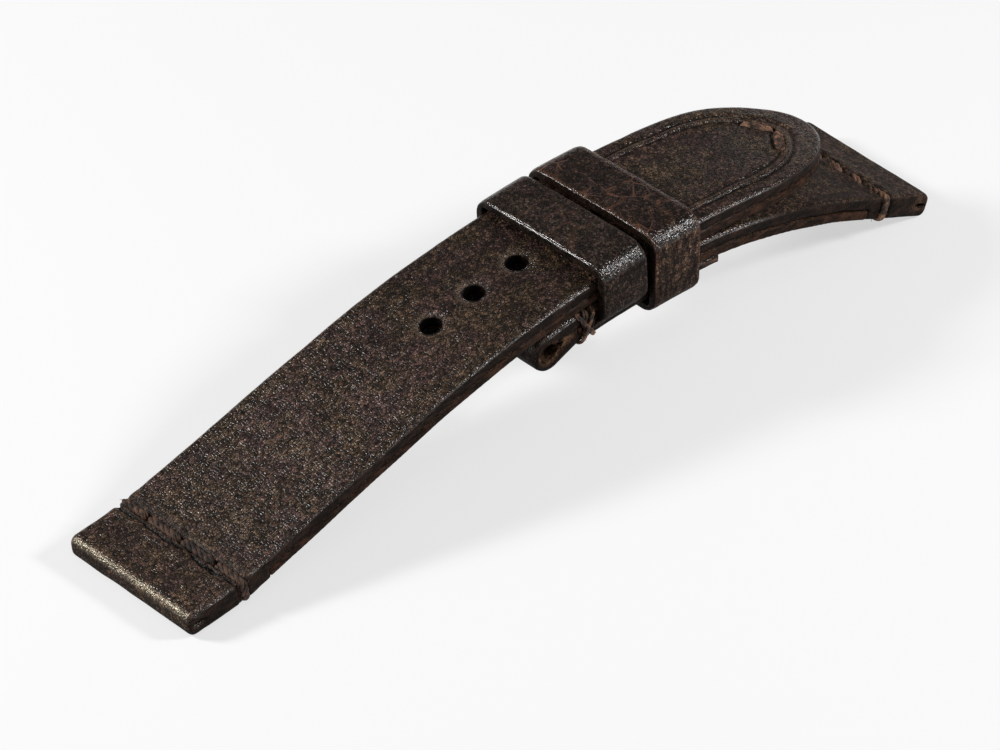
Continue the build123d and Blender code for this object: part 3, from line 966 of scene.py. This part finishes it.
def buckle_end_thread():
    slope = -math.degrees(math.atan2(buckle_row[0] - arch_x, buckle_row[2] - arch_z))
    plies = Plies(sloped(buckle_row, slope))
    random = np.random.default_rng(3)
    for spot in row_spots(buckle_half, buckle_end_holes, buckle_row_thickness, flush_rise):
        plies.thread(*loop_path(*spot), True, random, 0.9, 0.4, 5)
    # Two strands cross over each edge
    half = buckle_row_thickness / 2
    for side in (-1, 1):
        for way in (-1, 1):
            proud = 0.34 if way == 1 else 0.14
            edge = buckle_half + 0.05
            strand = (
                (1.6 * way, edge - 2.6, half + 0.02),
                (1.5 * way, edge - 0.9, half + 0.04),
                (1.1 * way, edge + proud * 0.6, half - 0.6),
                (0.1 * way, edge + proud, 0.0),
                (-1.0 * way, edge + proud * 0.6, 0.5 - half),
                (-1.4 * way, edge - 0.8, -half - 0.12),
                (-1.5 * way, edge - 2.4, -half - 0.05),
            )
            path, length = curve_path([(along, side * across, up) for along, across, up in strand])
            plies.thread(path, length, False, random, 0.55, 0.9, 9)
    plies.piece("buckle_end_thread", "short_strap")


def tip_thread():
    random = np.random.default_rng(4)
    back = tip_stitch_place - tip_stitch_end_place
    length = math.hypot(back, tip_stitch_reach)
    turn = math.degrees(math.atan2(back, tip_stitch_reach))
    half = long_thickness / 2 + flush_rise - thread_radius
    plies = Plies(Matrix.Identity(4))
    for side, girth, wear_and_highlight in ((-1, 1.25, 1.4), (1, 0.95, 1.1)):
        plies.place = on_arch(tip_stitch_place, long_thickness / 2, side * turn)
        first, last = sorted((side * tip_arm_gap, side * length))
        plies.thread(*loop_path(first, last, -half, half + 0.12), True, random, girth, wear_and_highlight, 14)
    plies.piece("long_tip_thread", "long_strap")


long_wears = (0.5, 0.2, 0.15, 0.25)
short_wears = (0.8, 1.4, 1.3, 1.1, 0.9, 1.2)
lug_thread("long_lug_thread", "long_strap", long_row, long_row_slope, long_lug_holes, long_wears, 1)
lug_thread("short_lug_thread", "short_strap", short_row, short_row_slope, short_lug_holes, short_wears, 2)
buckle_end_thread()
tip_thread()
for slot in frame["nodes"]["sliding_keeper_thread"].material_slots:
    slot.material = thread_finish


# Floor, lamps, world and camera

def floor():
    # The background is white where it is seen, and the floor keeps the shadow
    reach = floor_reach
    mesh = bpy.data.meshes.new("floor")
    corners = [(-reach, -reach, 0), (reach, -reach, 0), (reach, reach, 0), (-reach, reach, 0)]
    mesh.from_pydata(corners, [], [(0, 1, 2, 3)])
    piece = bpy.data.objects.new("floor", mesh)
    scene.collection.objects.link(piece)
    piece.location = (0.0, 0.0, floor_height)
    s = Shader("floor_finish")
    s.set(Base_Color=(floor_tone, floor_tone, floor_tone), Roughness=0.9)
    path = s.tree.nodes.new("ShaderNodeLightPath")
    rays = ("Is Camera Ray", "Is Glossy Ray", "Is Transmission Ray")
    seen = s.plus(*[path.outputs[ray] for ray in rays])
    glow = s.tree.nodes.new("ShaderNodeEmission")
    mix = s.tree.nodes.new("ShaderNodeMixShader")
    s.put(mix.inputs[0], s.times(seen, floor_glow))
    s.put(mix.inputs[1], s.surface.outputs[0])
    s.put(mix.inputs[2], glow.outputs[0])
    s.put(s.tree.nodes["Material Output"].inputs["Surface"], mix.outputs[0])
    mesh.materials.append(s.material)


def lamp(name, direction, distance, size, power):
    data = bpy.data.lights.new(name, "AREA")
    data.shape = "SQUARE"
    data.size = size
    data.energy = power
    piece = bpy.data.objects.new(name, data)
    scene.collection.objects.link(piece)
    towards = Vector(direction).normalized()
    piece.location = towards * distance
    piece.rotation_euler = towards.to_track_quat("Z", "Y").to_euler()


def world():
    background = bpy.data.worlds.new("studio")
    scene.world = background
    background.use_nodes = True
    shader = background.node_tree.nodes["Background"]
    shader.inputs["Color"].default_value = (1.0, 1.0, 1.0, 1.0)
    shader.inputs["Strength"].default_value = world_strength


def camera():
    azimuth = math.radians(camera_azimuth)
    elevation = math.radians(camera_elevation)
    back = Vector((
        math.sin(azimuth) * math.cos(elevation),
        -math.cos(azimuth) * math.cos(elevation),
        math.sin(elevation),
    ))
    right = Vector((math.cos(azimuth), math.sin(azimuth), 0.0))
    up = back.cross(right)
    over = (image_size[0] / 2 - view_point_pixel[0]) / pixels_per_mm
    down = (image_size[1] / 2 - view_point_pixel[1]) / pixels_per_mm
    aim = Vector(view_point) + right * over - up * down
    data = bpy.data.cameras.new("camera")
    data.sensor_width = sensor_width
    data.lens = sensor_width * pixels_per_mm * camera_distance / image_size[0]
    data.clip_start = 0.01
    data.clip_end = 20.0
    piece = bpy.data.objects.new("camera", data)
    scene.collection.objects.link(piece)
    axes = Matrix((right, up, back)).transposed().to_4x4()
    piece.matrix_world = Matrix.Translation((aim + back * camera_distance) * MM) @ axes
    scene.camera = piece


floor()
lamp("near_side_softbox", (0.54, -0.61, 0.58), 0.6, 0.11, 2.5)
lamp("lug_end_softbox", (-0.61, 0.58, 0.54), 0.6, 0.12, 3.2)
lamp("top_softbox", (-0.25, -0.35, 0.90), 0.7, 0.35, 0.3)
world()
camera()
scene.view_settings.view_transform = "Standard"
